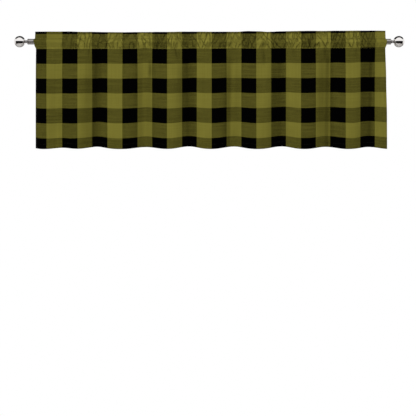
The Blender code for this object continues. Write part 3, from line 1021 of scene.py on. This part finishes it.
@dataclass
class Cloth:
    """The valance's cloth: one strip, turned up at the hem, folded over the rod and sewn down twice.

    Attributes:
        size: its sizes.
        rod: those of the rod that it hangs on.
        columns: steps along the rod.
        hem_rows: rows of the turned-up part of the hem.
        panel_rows: rows from the hem to the lower seam.
        flank_rows: steps of the pocket's straight flank.
        arc_rows: rows of its arc round the rod.
        header_rows: steps from the upper seam to the header's top.
        turn_rows: steps of the half circle where the cloth turns over.
        panel_spacing: power that sets the panel's rows closer together towards the seam.
    """

    size: ClothSize = ClothSize()
    rod: RodSize = RodSize()
    columns: int = 548
    hem_rows: int = 5
    panel_rows: int = 30
    flank_rows: int = 4
    arc_rows: int = 11
    header_rows: int = 7
    turn_rows: int = 4
    panel_spacing: float = 1.4

    def __post_init__(self) -> None:
        """Set out the columns and the puckers, then work out the whole surface."""
        size = self.size
        self.x = np.linspace(size.left, size.right, self.columns + 1)
        self.puckers = list(HAND_CREASES)
        for row in SEAM_PUCKERS:
            self.puckers += row.creases()
        self.marks: dict[str, int] = {}
        self.points, self.uv = self.surface()

    def fold_depth(self, drop: float) -> Array:
        """Sum of the folds, each a bell with two unlike flanks.

        A bell is narrower towards the seam, and its bottom is sharper towards the hem.

        Args:
            drop: share of the way from the lower seam to the hem.

        Returns:
            The depth at each column.
        """
        size = self.size
        total = np.zeros_like(self.x)
        narrowing = size.width_at_seam + (1.0 - size.width_at_seam) * drop
        sharpness = size.sharpness_at_seam + (size.sharpness_at_hem - size.sharpness_at_seam) * drop
        for fold in FOLDS:
            away = self.x - (fold.x + fold.lean * (1.0 - drop))
            width = narrowing * np.where(away < 0.0, fold.left, fold.right)
            total += fold.depth * np.exp(-(np.abs(away / width) ** sharpness))
        return total

    def hem_rise(self) -> Array:
        """How far the hem is drawn up at each column, as a sum of bells."""
        return sum(
            place.rise * np.exp(-(((self.x - place.x) / place.half_width) ** 2)) for place in HEM_RISES
        )

    def pucker(self, height: float) -> Array:
        """Depth of all creases at each column, at a height above the lower seam."""
        return sum(crease.at(self.x, height) for crease in self.puckers)

    def hanging_row(self, drop: float, layer: Layer) -> Array:
        """One row of the panel: folds that deepen downwards, a hem that rises in them, and creases.

        Args:
            drop: share of the way from the lower seam to the hem.
            layer: the front layer or the one turned up behind it.

        Returns:
            Columns by y, z and distance down the strip.
        """
        size = self.size
        length = size.lower_seam - size.hem
        growth = 1.0 - (1.0 - drop) ** size.early_growth
        depth = growth * (self.fold_depth(drop) - size.ridge_forward)
        ripple = size.panel_ripple * drop
        for wave in PANEL_RIPPLE:
            ripple = ripple * wave.at(self.x, drop)
        middle = depth + ripple + self.pucker(-drop * length)
        slope = np.gradient(middle, self.x)
        y = middle + layer.value * size.turn_radius * np.sqrt(1.0 + slope * slope)
        share = size.rise_at_seam + (1.0 - size.rise_at_seam) * drop ** size.rise_growth
        z = size.lower_seam - drop * length + share * self.hem_rise()
        rise = CHECK_RISE.at(self.x) * (1.0 - size.rise_lost * drop) - CHECK_SAG.at(self.x) * drop
        down = size.check_top - size.lower_seam + drop * length + rise
        return np.stack([y, z, down], axis=-1)

    def turned_up_hem(self) -> list[Array]:
        """The hem's rows: from its raw edge down behind the panel, then round under it as a half circle."""
        size = self.size
        length = size.lower_seam - size.hem
        rows = []
        start = 1.0 - size.hem_depth / length
        bottom = self.hanging_row(1.0, Layer.FRONT)
        offset = 0.5 * (self.hanging_row(1.0, Layer.BACK)[:, 0] - bottom[:, 0])
        middle = bottom[:, 0] + offset
        line = bottom[:, 1] + 0.5 * size.thickness
        for step in range(self.hem_rows):
            drop = start + (1.0 - start) * step / self.hem_rows
            row = self.hanging_row(drop, Layer.BACK)
            row[:, 2] = 2.0 * bottom[:, 2] - row[:, 2]
            rows.append(row)
        for step in range(self.turn_rows + 1):
            angle = math.pi * step / self.turn_rows
            y = middle + offset * math.cos(angle)
            z = line + size.turn_radius * (1.0 - math.sin(angle))
            down = bottom[:, 2] + size.turn_radius * (1.0 - 2.0 * step / self.turn_rows)
            rows.append(np.stack([y, z, down], axis=-1))
        return rows

    def pocket_rows(self, layer: Layer) -> list[Array]:
        """One side of the rod pocket, bottom up: straight from the seam to the rod, then round it as an arc.

        The cloth stands off the rod by a slow wave and by its puckers, which fade at the rod's top, and
        never comes nearer than its seat.

        Args:
            layer: the front or the back of the pocket.

        Returns:
            The rows.
        """
        size, rod = self.size, self.rod
        around = rod.radius + rod.gap + 0.5 * size.thickness
        reach = math.hypot(size.turn_radius, size.lower_seam)
        start = math.acos(around / reach) - math.atan2(-size.lower_seam, size.turn_radius)
        slow = sum((wave.at(self.x) for wave in POCKET_SWAY), size.pocket_mean)
        seam = self.hanging_row(0.0, layer)
        rows = []
        angles = np.linspace(start, size.arc_end, self.arc_rows)
        for angle in angles:
            height = around * math.sin(angle) - size.lower_seam
            swing = math.cos(angle) ** 2
            set_in = size.pocket_start if angle == angles[0] else 1.0
            slack = size.pocket_pucker * slow * swing * set_in
            left_over = size.pucker_over_rod + (1.0 - size.pucker_over_rod) * swing
            pucker = self.pucker(height) * left_over
            radius = around + np.maximum(slack + size.pocket_slack * swing - pucker, size.clearance)
            y = layer.value * radius * math.cos(angle)
            z = radius * math.sin(angle)
            rows.append(np.stack([y, z, z], axis=-1))
        flank = []
        for step in range(1, self.flank_rows):
            part = step / self.flank_rows
            y = seam[:, 0] + part * (rows[0][:, 0] - seam[:, 0])
            z = seam[:, 1] + part * (rows[0][:, 1] - seam[:, 1])
            fade = 1.0 - part
            y = y - layer.value * self.pucker(z.mean() - size.lower_seam) * (1.0 - fade * fade)
            seat = np.sqrt(np.maximum((around + size.flank_clearance) ** 2 - z * z, 0.0))
            y = np.where(np.abs(y) < seat, layer.value * seat, y)
            flank.append(np.stack([y, z, z], axis=-1))
        return flank + rows

    def header_layer(self, layer: Layer) -> list[Array]:
        """One layer of the header, bottom up: it leans in slow waves, and has the other layer's puckers."""
        size = self.size
        side = layer.value * size.turn_radius
        top = HEADER_TOP.at(self.x) - 0.5 * size.thickness - size.turn_radius
        lean = self.header_lean()
        rows = []
        for step in range(self.header_rows + 1):
            part = step / self.header_rows
            z = size.upper_seam + part * (top - size.upper_seam)
            crease = self.pucker(z.mean() - size.lower_seam) * min(1.0, part / size.header_onset)
            y = side + lean * part * (1.0 + size.header_bend * (1.0 - part)) + crease
            rows.append(np.stack([y, z, z], axis=-1))
        return rows

    def header_lean(self) -> Array:
        """How far the header's top leans: two slow unlike waves."""
        return self.size.header_pucker * sum(wave.at(self.x) for wave in HEADER_SWAY)

    def surface(self) -> tuple[Array, Array]:
        """The whole middle surface and its map.

        The rows run from the hem's raw edge round under the hem, up the front, over the header and down the
        back to below the lower seam. The map's first number is the place along the rod, and its second is
        the distance down the strip from the header's top, as seen from the front, and by length behind.

        Returns:
            Rows by columns by three coordinates, and rows by columns by two.
        """
        size = self.size
        rows = self.turned_up_hem()
        self.marks["hem_turn"] = len(rows) - 1
        for step in range(1, self.panel_rows + 1):
            drop = (1.0 - step / self.panel_rows) ** self.panel_spacing
            rows.append(self.hanging_row(drop, Layer.FRONT))
        self.marks["lower_seam_front"] = len(rows) - 1
        front = self.pocket_rows(Layer.FRONT)
        self.marks["upper_seam_front"] = len(rows) + len(front)
        front += self.header_layer(Layer.FRONT)
        rise = CHECK_RISE.at(self.x)
        for row in front:
            row[:, 2] = size.check_top - row[:, 2] + rise
        rows += front
        self.marks["header_top"] = len(rows)
        top = front[-1]
        last = self.turn_rows
        middle = top[:, 0] + size.turn_radius
        for step in range(1, last):
            angle = math.pi * step / last
            y = middle - size.turn_radius * math.cos(angle)
            z = top[:, 1] + size.turn_radius * math.sin(angle)
            rows.append(np.stack([y, z, top[:, 2] - 2.0 * size.turn_radius * step / last], axis=-1))
        start_down = top[:, 2] - 2.0 * size.turn_radius
        header = self.header_layer(Layer.BACK)[::-1]
        self.marks["upper_seam_back"] = len(rows) + len(header) - 1
        back = header + self.pocket_rows(Layer.BACK)[::-1]
        self.marks["lower_seam_back"] = len(rows) + len(back)
        back.append(self.hanging_row(0.0, Layer.BACK))
        back.append(self.hanging_row(0.5 * size.seam_allowance / (size.lower_seam - size.hem), Layer.BACK))
        back.append(self.hanging_row(size.seam_allowance / (size.lower_seam - size.hem), Layer.BACK))
        previous = back[0][:, :2].copy()
        gone = np.zeros_like(self.x)
        for row in back:
            gone = gone + np.hypot(*(row[:, :2] - previous).T)
            previous = row[:, :2].copy()
            row[:, 2] = start_down - gone
        rows += back
        table = np.array(rows)
        x = np.broadcast_to(self.x, table.shape[:2])
        shift = self.edge_shift(x, table[..., 1])
        points = np.stack([x + shift, table[..., 0], table[..., 1]], axis=-1)
        pull = size.end_pull * np.exp(-(x - size.left) / size.end_pull_reach)
        uv = np.stack([x + shift + pull + CHECK_DRAWN.at(x), table[..., 2]], axis=-1)
        return points, uv

    def painted_shade_mask(self) -> Array:
        """How much painted shade each point of the front gets, from 0 to 1, for its depth in a crease or a
        fold's bottom.

        Only the listed creases count, and a fold's bottom counts as a narrow bell.
        """
        size = self.size
        shade = np.zeros(self.points.shape[:2])
        for row in range(self.marks["hem_turn"], self.marks["header_top"]):
            height = self.points[row, :, 2].mean() - size.lower_seam
            creased = sum(np.maximum(crease.at(self.x, height), 0.0) for crease in HAND_CREASES)
            drop = max(height / (size.hem - size.lower_seam), 0.0)
            # Painted shade: a dark line along each fold's bottom
            bottoms = np.zeros_like(self.x)
            for fold in FOLDS:
                away = self.x - fold.x - fold.lean * (1.0 - drop)
                bottoms += fold.shade * np.exp(-((away / size.shade_width) ** 2))
            shade[row] = creased / size.deep_crease + min(drop / size.shade_start, 1.0) * bottoms
        return np.clip(shade, 0.0, 1.0)

    def edge_shift(self, x: Array, z: Array) -> Array:
        """How far a point moves sideways so that the two side edges have their own outlines."""
        size = self.size
        near_left = np.exp(-(x - size.left) / size.edge_reach)
        near_right = np.exp(-(size.right - x) / size.edge_reach)
        return RIGHT_OUT.at(z) * near_right - LEFT_OUT.at(z) * near_left

    def build(self, material: Material) -> Object:
        """Make the cloth's piece, a thin sheet with its thickness on both sides of the surface."""
        mesh = grid_mesh("valance_cloth", self.points, self.uv, self.painted_shade_mask())
        piece = add_piece("valance_cloth", mesh, material)
        thicken = piece.modifiers.new("Cloth thickness", "SOLIDIFY")
        thicken.thickness = self.size.thickness
        thicken.offset = 0.0
        return piece


@dataclass
class Sewing:
    """Lock stitches along the seams and hems, drawn as short raised threads on both faces of the cloth.

    Attributes:
        cloth: the cloth that is sewn.
        pitch: distance from one stitch to the next.
        length: length of a stitch.
        radius: radius of the thread.
        hem_line: height of the hem's line above its lower edge.
        sides: sides of a stitch.
    """

    cloth: Cloth
    pitch: float = 3.2 * MM
    length: float = 2.5 * MM
    radius: float = 0.28 * MM
    hem_line: float = 22.0 * MM
    sides: int = 5

    def __post_init__(self) -> None:
        """Work out the way out of the cloth and its outer face at every point."""
        along = np.gradient(self.cloth.points, axis=1)
        up = np.gradient(self.cloth.points, axis=0)
        normals = np.cross(along, up)
        self.normals = normals / np.linalg.norm(normals, axis=-1, keepdims=True)
        self.face = self.cloth.points + 0.5 * self.cloth.size.thickness * self.normals

    def seam_lines(self) -> list[tuple[Array, Array]]:
        """Both seams of the heading, front and back, each with its points and the way out of the cloth."""
        names = ("lower_seam_front", "upper_seam_front", "upper_seam_back", "lower_seam_back")
        rows = [self.cloth.marks[name] for name in names]
        return [(self.face[row], self.normals[row]) for row in rows]

    def hem_lines(self) -> list[tuple[Array, Array]]:
        """The hem's line along the front, and those of the side hems on both faces of the panel."""
        cloth, size = self.cloth, self.cloth.size
        first = cloth.marks["hem_turn"]
        heights = cloth.points[first:cloth.marks["lower_seam_front"], 0, 2]
        row = first + int(np.argmin(np.abs(heights - size.hem - self.hem_line)))
        lines = [(self.face[row], self.normals[row])]
        inner = np.searchsorted(cloth.x - size.left, size.side_hem)
        panel = slice(first, cloth.marks["upper_seam_front"])
        for column in (inner, cloth.columns - inner):
            for way in (1.0, -1.0):
                out = way * self.normals[panel, column]
                lines.append((cloth.points[panel, column] + 0.5 * size.thickness * out, out))
        return lines

    def stitches(self, line: Array, normals: Array) -> Array:
        """Set stitches along a line: each a short spindle that dips into the cloth at its two ends.

        Args:
            line: points of the line.
            normals: the way out of the cloth at each.

        Returns:
            Stitches by rings by sides by three coordinates.
        """
        steps = np.linalg.norm(np.diff(line, axis=0), axis=1)
        run = np.concatenate([[0.0], np.cumsum(steps)])
        count = int(run[-1] / self.pitch)
        centres = (np.arange(count) + 0.5) * self.pitch
        # A stitch's four rings: their places along it, their widths and how high they stand, in radii
        spans = np.array([-0.5, -0.25, 0.25, 0.5])
        swell = np.array([0.45, 1.0, 1.0, 0.45])
        dip = np.array([-0.8, 0.25, 0.25, -0.8])
        places = centres[:, None] + spans * self.length

        def sample(values: Array) -> Array:
            """Values read along the line at every ring."""
            return np.stack([np.interp(places, run, values[:, axis]) for axis in range(3)], axis=-1)

        middle, out = sample(line), sample(normals)
        ahead = np.gradient(middle, axis=1)
        ahead /= np.linalg.norm(ahead, axis=-1, keepdims=True)
        aside = np.cross(ahead, out)
        middle = middle + out * (dip * self.radius)[None, :, None]
        angle = np.linspace(0.0, 2.0 * np.pi, self.sides, endpoint=False)
        ring = self.radius * swell[:, None, None]
        around = np.cos(angle)[:, None] * aside[:, :, None] + np.sin(angle)[:, None] * out[:, :, None]
        return middle[:, :, None] + ring * around

    def build(
        self, name: str, lines: list[tuple[Array, Array]], material: Material
    ) -> Object:
        """Make one joined piece of every stitch of some lines.

        Args:
            name: the piece's name.
            lines: the lines, each with its points and the way out of the cloth.
            material: the thread.

        Returns:
            The piece.
        """
        points = np.concatenate([self.stitches(line, out) for line, out in lines])
        count, rings, sides = points.shape[:3]
        index = np.arange(count * rings * sides).reshape(count, rings, sides)
        turned = np.roll(index, -1, axis=2)
        walls = np.stack([index[:, :-1], turned[:, :-1], turned[:, 1:], index[:, 1:]], axis=-1)
        ends = [index[:, 0, ::-1], index[:, -1, :]]
        mesh = bpy.data.meshes.new(name)
        faces = walls.reshape(-1, 4).tolist() + np.concatenate(ends).tolist()
        mesh.from_pydata(points.reshape(-1, 3), [], faces)
        mesh.shade_smooth()
        return add_piece(name, mesh, material)


@dataclass
class RodSet:
    """The satin rod, with a turned cap and a chrome ball finial at each end.

    Attributes:
        size: its sizes.
        steps: steps round the axis.
        ball_steps: points along a ball's outline.
        shoulder_steps: points along a cap's shoulder.
        flange_steps: points along a flange's rounded edge.
        sharp_angle: edges sharper than this stay crisp.
    """

    size: RodSize = RodSize()
    steps: int = 96
    ball_steps: int = 48
    shoulder_steps: int = 9
    flange_steps: int = 7
    sharp_angle: float = math.radians(35)

    def turned(
        self, name: str, profile: Array, start: float, side: float, material: Material, node: str
    ) -> Object:
        """Turn an outline about the rod's axis.

        A point of the surface is the outline's radius carried round the axis, at its distance along it.

        Args:
            name: the piece's name.
            profile: rows of distance from the start and radius.
            start: where the outline starts, from mid length.
            side: 1 at the right end, -1 at the left.
            material: its finish.
            node: the solid that it stands for.

        Returns:
            The piece.
        """
        angle = np.linspace(0.0, 2.0 * np.pi, self.steps, endpoint=False)
        along = side * (start + profile[:, :1])
        radius = profile[:, 1:]
        places = np.broadcast_to(along, (len(profile), self.steps))
        points = np.stack([places, radius * np.cos(angle), radius * np.sin(angle)], axis=-1)
        mesh = grid_mesh(name, points, ring=True)
        shell = bmesh.new()
        shell.from_mesh(mesh)
        bmesh.ops.remove_doubles(shell, verts=shell.verts, dist=1e-6)
        bmesh.ops.recalc_face_normals(shell, faces=shell.faces)
        shell.to_mesh(mesh)
        shell.free()
        mesh.set_sharp_from_angle(angle=self.sharp_angle)
        piece = add_piece(name, mesh, material)
        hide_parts(node)
        return piece

    def rod_profile(self) -> Array:
        """The bar's outline, with its ends broken by a small chamfer."""
        size, edge = self.size, self.size.chamfer
        full = 2.0 * size.half_length
        return np.array([
            (0.0, 0.0), (0.0, size.radius - edge), (edge, size.radius),
            (full - edge, size.radius), (full, size.radius - edge), (full, 0.0),
        ])

    def cap_profile(self) -> Array:
        """The cap's outline: a straight band, then a rounded shoulder down to its flat nose."""
        size = self.size
        angle = np.linspace(0.0, 0.5 * np.pi, self.shoulder_steps)
        drop = size.cap_radius - size.cap_nose
        band, edge = size.cap_band, size.cap_chamfer
        shoulder = np.stack([
            band + (size.cap_length - band) * np.sin(angle), size.cap_nose + drop * np.cos(angle)
        ], axis=-1)
        start = [(0.0, 0.0), (0.0, size.cap_radius - edge), (edge, size.cap_radius)]
        return np.concatenate([start, shoulder, [(size.cap_length, 0.0)]])

    def finial_profile(self) -> Array:
        """The finial's outline: a small flange, a neck that flares into the ball, and the ball."""
        size = self.size
        start = size.half_length + size.cap_length + 2.0 * size.gap
        centre = size.ball_centre - start
        join = math.asin(size.neck_radius / size.ball_radius)
        ball_angle = np.linspace(join, np.pi, self.ball_steps)
        ball = np.stack([
            centre - size.ball_radius * np.cos(ball_angle), size.ball_radius * np.sin(ball_angle)
        ], axis=-1)
        round_angle = np.linspace(0.0, np.pi, self.flange_steps)
        flange = np.stack([
            0.5 * size.flange_length * (1.0 - np.cos(round_angle)),
            size.neck_radius + (size.flange_radius - size.neck_radius) * np.sin(round_angle),
        ], axis=-1)
        return np.concatenate([[(0.0, 0.0)], flange, ball])

    def finish_neck(self, finial: Object, satin: Material) -> None:
        """Give a finial's flange and neck, which end where the ball starts, the satin finish."""
        size, mesh = self.size, finial.data
        mesh.materials.append(satin)
        ball_start = size.ball_centre - math.sqrt(size.ball_radius ** 2 - size.neck_radius ** 2)
        centres = np.array([polygon.center.x for polygon in mesh.polygons])
        mesh.polygons.foreach_set("material_index", (np.abs(centres) < ball_start).astype(np.int32))

    def build(self, satin: Material, chrome: Material) -> list[Object]:
        """Make the rod, and the cap and finial at each end.

        Args:
            satin: finish of the rod and the caps.
            chrome: finish of the finials.

        Returns:
            The five pieces.
        """
        size = self.size
        pieces = [self.turned("rod_bar", self.rod_profile(), -size.half_length, 1.0, satin, "rod")]
        cap_start = size.half_length + size.gap
        finial_start = cap_start + size.cap_length + size.gap
        for end, side in (("left", -1.0), ("right", 1.0)):
            pieces.append(self.turned(
                f"turned_cap_{end}", self.cap_profile(), cap_start, side, satin, f"end_cap_{end}"
            ))
            finial = self.turned(
                f"ball_finial_{end}", self.finial_profile(), finial_start, side, chrome, f"finial_{end}"
            )
            self.finish_neck(finial, satin)
            pieces.append(finial)
        return pieces


class SoftLight(NamedTuple):
    """One broad light aimed at the valance.

    Attributes:
        name: its name.
        place: where its middle is.
        size: its width and height.
        power: its power in watts.
    """

    name: str
    place: tuple[float, float, float]
    size: Range
    power: float


# The left one darkens the flanks that face right, which shows the folds and puckers. The one behind shows
# the back of the cloth and doesn't reach its front.
SOFT_LIGHTS = (
    SoftLight(name="front_high", place=(0.0, -4.6, 2.6), size=(2.4, 0.8), power=136.0),
    SoftLight(name="front_low", place=(0.0, -4.8, -1.5), size=(2.4, 0.8), power=52.0),
    SoftLight(name="left", place=(-5.0, -6.0, 1.4), size=(1.5, 1.5), power=127.0),
    SoftLight(name="behind", place=(-2.2, 4.6, 1.8), size=(2.4, 0.8), power=80.0),
)


@dataclass(frozen=True)
class Surround:
    """A white world to the camera, a dim one to the cloth, and to the metal a room with a level black strip.

    The room is white above the strip and warm grey below it. Behind and overhead it is dark in the middle
    and white to the sides, and low down behind it is mid grey. A range says where along a ray's direction,
    from -1 to 1, one tone starts to give way to the next and where the next is full.

    Attributes:
        above: the room in front, above the horizon.
        below: the same, below it.
        strip: the strip.
        sides: the room behind and overhead, to both sides.
        overhead: the same in the middle.
        rear_low: the room behind, low down.
        to_cloth: what soft surfaces get from all sides.
        to_camera: what the camera sees.
        horizon: upwards, from below to above.
        strip_bottom: upwards, into the strip.
        strip_top: upwards, out of it.
        strip_ahead: forwards, into it.
        overhead_rise: upwards, from the sides to the middle.
        overhead_spread: how much higher that starts for each unit sideways.
        rear_drop: downwards, into the low part behind.
        rear: backwards, from the room in front to that behind.
    """

    above: Colour = (1.1, 1.1, 1.1, 1.0)
    below: Colour = (0.50, 0.455, 0.435, 1.0)
    strip: Colour = (0.003, 0.003, 0.003, 1.0)
    sides: Colour = (1.0, 1.0, 1.0, 1.0)
    overhead: Colour = (0.03, 0.03, 0.03, 1.0)
    rear_low: Colour = (0.27, 0.26, 0.25, 1.0)
    to_cloth: Colour = (0.18, 0.18, 0.18, 1.0)
    to_camera: Colour = (1.0, 1.0, 1.0, 1.0)
    horizon: Range = (-0.10, 0.02)
    strip_bottom: Range = (-0.72, -0.50)
    strip_top: Range = (0.14, 0.22)
    strip_ahead: Range = (0.05, 0.20)
    overhead_rise: Range = (0.05, 0.22)
    overhead_spread: float = 0.52
    rear_drop: Range = (0.20, 0.45)
    rear: Range = (-0.12, 0.06)

    def build(self) -> None:
        """Make the world from the direction of each ray and what kind of ray it is."""
        world = bpy.data.worlds.new("surround")
        world.use_nodes = True
        tree = world.node_tree
        tree.nodes.clear()
        place = add_node(tree, "TexCoord").outputs["Generated"]
        x, y, z = add_node(tree, "SeparateXYZ", place).outputs
        forwards = add_node(tree, "Math", y, -1.0, operation="MULTIPLY")
        downwards = add_node(tree, "Math", z, -1.0, operation="MULTIPLY")
        aside = add_node(tree, "Math", x, operation="ABSOLUTE")
        rise = add_node(tree, "Math", aside, -self.overhead_spread, z, operation="MULTIPLY_ADD")
        above, in_strip, over_strip, ahead, overhead, low, behind = (
            add_node(tree, "MapRange", way, *ends, interpolation_type="SMOOTHSTEP")
            for way, ends in (
                (z, self.horizon), (z, self.strip_bottom), (z, self.strip_top), (forwards, self.strip_ahead),
                (rise, self.overhead_rise), (downwards, self.rear_drop), (y, self.rear),
            )
        )
        under_top = add_node(tree, "Math", 1.0, over_strip, operation="SUBTRACT")
        level = add_node(tree, "Math", in_strip, under_top, operation="MULTIPLY")
        strip = add_node(tree, "Math", level, ahead, operation="MULTIPLY")
        front = self.below
        for share, tone in ((above, self.above), (strip, self.strip)):
            front = add_node(tree, "Mix", share, front, tone, data_type="RGBA")
        rear = self.sides
        for share, tone in ((overhead, self.overhead), (low, self.rear_low)):
            rear = add_node(tree, "Mix", share, rear, tone, data_type="RGBA")
        rays = add_node(tree, "LightPath").outputs
        colour = front
        for share, tone in (
            (behind, rear), (rays["Is Diffuse Ray"], self.to_cloth), (rays["Is Camera Ray"], self.to_camera),
        ):
            colour = add_node(tree, "Mix", share, colour, tone, data_type="RGBA")
        ground = add_node(tree, "Background", Color=colour, Strength=1.0)
        add_node(tree, "OutputWorld", Surface=ground)
        bpy.context.scene.world = world


@dataclass
class Studio:
    """Plain floor, soft lights, a surround for the metal to mirror, and the camera.

    Attributes:
        pixel: width that one pixel of the picture covers at the rod.
        picture: width and height of the picture in pixels.
        rod_middle_px: pixel at the middle of the rod.
        distance: from the camera to the rod.
        sensor: width of the camera's sensor in millimetres.
        clip_end: the farthest that the camera sees.
        floor_x: reach of the floor to the left and right.
        floor_y: its reach to the front and back.
        floor_z: its height.
        floor_points: how many points it has each way.
        target: what the lights face.
    """

    pixel: float = 3.91 * MM
    picture: int = 416
    rod_middle_px: tuple[float, float] = (209.25, 41.7)
    distance: float = 6.0
    sensor: float = 36.0
    clip_end: float = 50.0
    floor_x: Range = (-3.0, 3.0)
    floor_y: Range = (-1.7, 1.3)
    floor_z: float = -1.95
    floor_points: tuple[int, int] = (13, 7)
    target: tuple[float, float, float] = (0.0, 0.0, -0.2)

    def camera(self) -> Object:
        """The camera: level, square to the rod, aimed at the middle of the picture."""
        half = 0.5 * self.picture
        x = (half - self.rod_middle_px[0]) * self.pixel
        z = (self.rod_middle_px[1] - half) * self.pixel
        data = bpy.data.cameras.new("camera")
        data.sensor_width = self.sensor
        data.lens = self.sensor * self.distance / (self.picture * self.pixel)
        data.clip_end = self.clip_end
        camera = bpy.data.objects.new("camera", data)
        camera.location = (x, -self.distance, z)
        camera.rotation_euler = (math.radians(90), 0.0, 0.0)
        bpy.context.scene.collection.objects.link(camera)
        bpy.context.scene.camera = camera
        return camera

    def floor(self) -> Object:
        """A plain pale floor under the valance, which isn't part of it."""
        u = np.linspace(*self.floor_x, self.floor_points[0])
        v = np.linspace(*self.floor_y, self.floor_points[1])
        across, along = np.meshgrid(u, v)
        points = np.stack([across, along, np.full_like(across, self.floor_z)], axis=-1)
        mesh = grid_mesh("floor", points)
        mesh.materials.append(PaleFloor().build())
        floor = bpy.data.objects.new("floor", mesh)
        bpy.context.scene.collection.objects.link(floor)
        return floor

    def add_light(self, kind: SoftLight) -> None:
        """Add a soft rectangular light that faces the valance and that neither camera nor mirror sees."""
        data = bpy.data.lights.new(kind.name, "AREA")
        data.shape = "RECTANGLE"
        data.size, data.size_y = kind.size
        data.energy = kind.power
        light = bpy.data.objects.new(kind.name, data)
        light.location = kind.place
        way = Vector(self.target) - Vector(kind.place)
        light.rotation_euler = way.to_track_quat("-Z", "Y").to_euler()
        light.visible_camera = False
        light.visible_glossy = False
        bpy.context.scene.collection.objects.link(light)

    def build(self) -> None:
        """Set up the camera, the floor, the lights, the world and a plain view transform."""
        self.camera()
        self.floor()
        for kind in SOFT_LIGHTS:
            self.add_light(kind)
        Surround().build()
        bpy.context.scene.view_settings.view_transform = "Standard"


def main() -> None:
    """Build the cloth, its sewing, the rod set and the studio, and report each piece."""
    logging.basicConfig(level=logging.INFO, format="%(name)s: %(message)s")
    cloth = Cloth()
    sheet = cloth.build(WovenCotton().build())
    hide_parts("valance")
    sewing = Sewing(cloth)
    olive = SewingThread("spun_polyester_olive", "837d37").build()
    black = SewingThread("spun_polyester_black", "141309").build()
    seams = sewing.build("heading_stitching", sewing.seam_lines(), olive)
    hems = sewing.build("hem_stitching", sewing.hem_lines(), black)
    rod_pieces = RodSet().build(SatinSteel().build(), ChromePlate().build())
    for piece in (sheet, seams, hems, *rod_pieces):
        LOG.info("%s has %d faces", piece.name, len(piece.data.polygons))
    Studio().build()


if __name__ == "__main__":
    main()
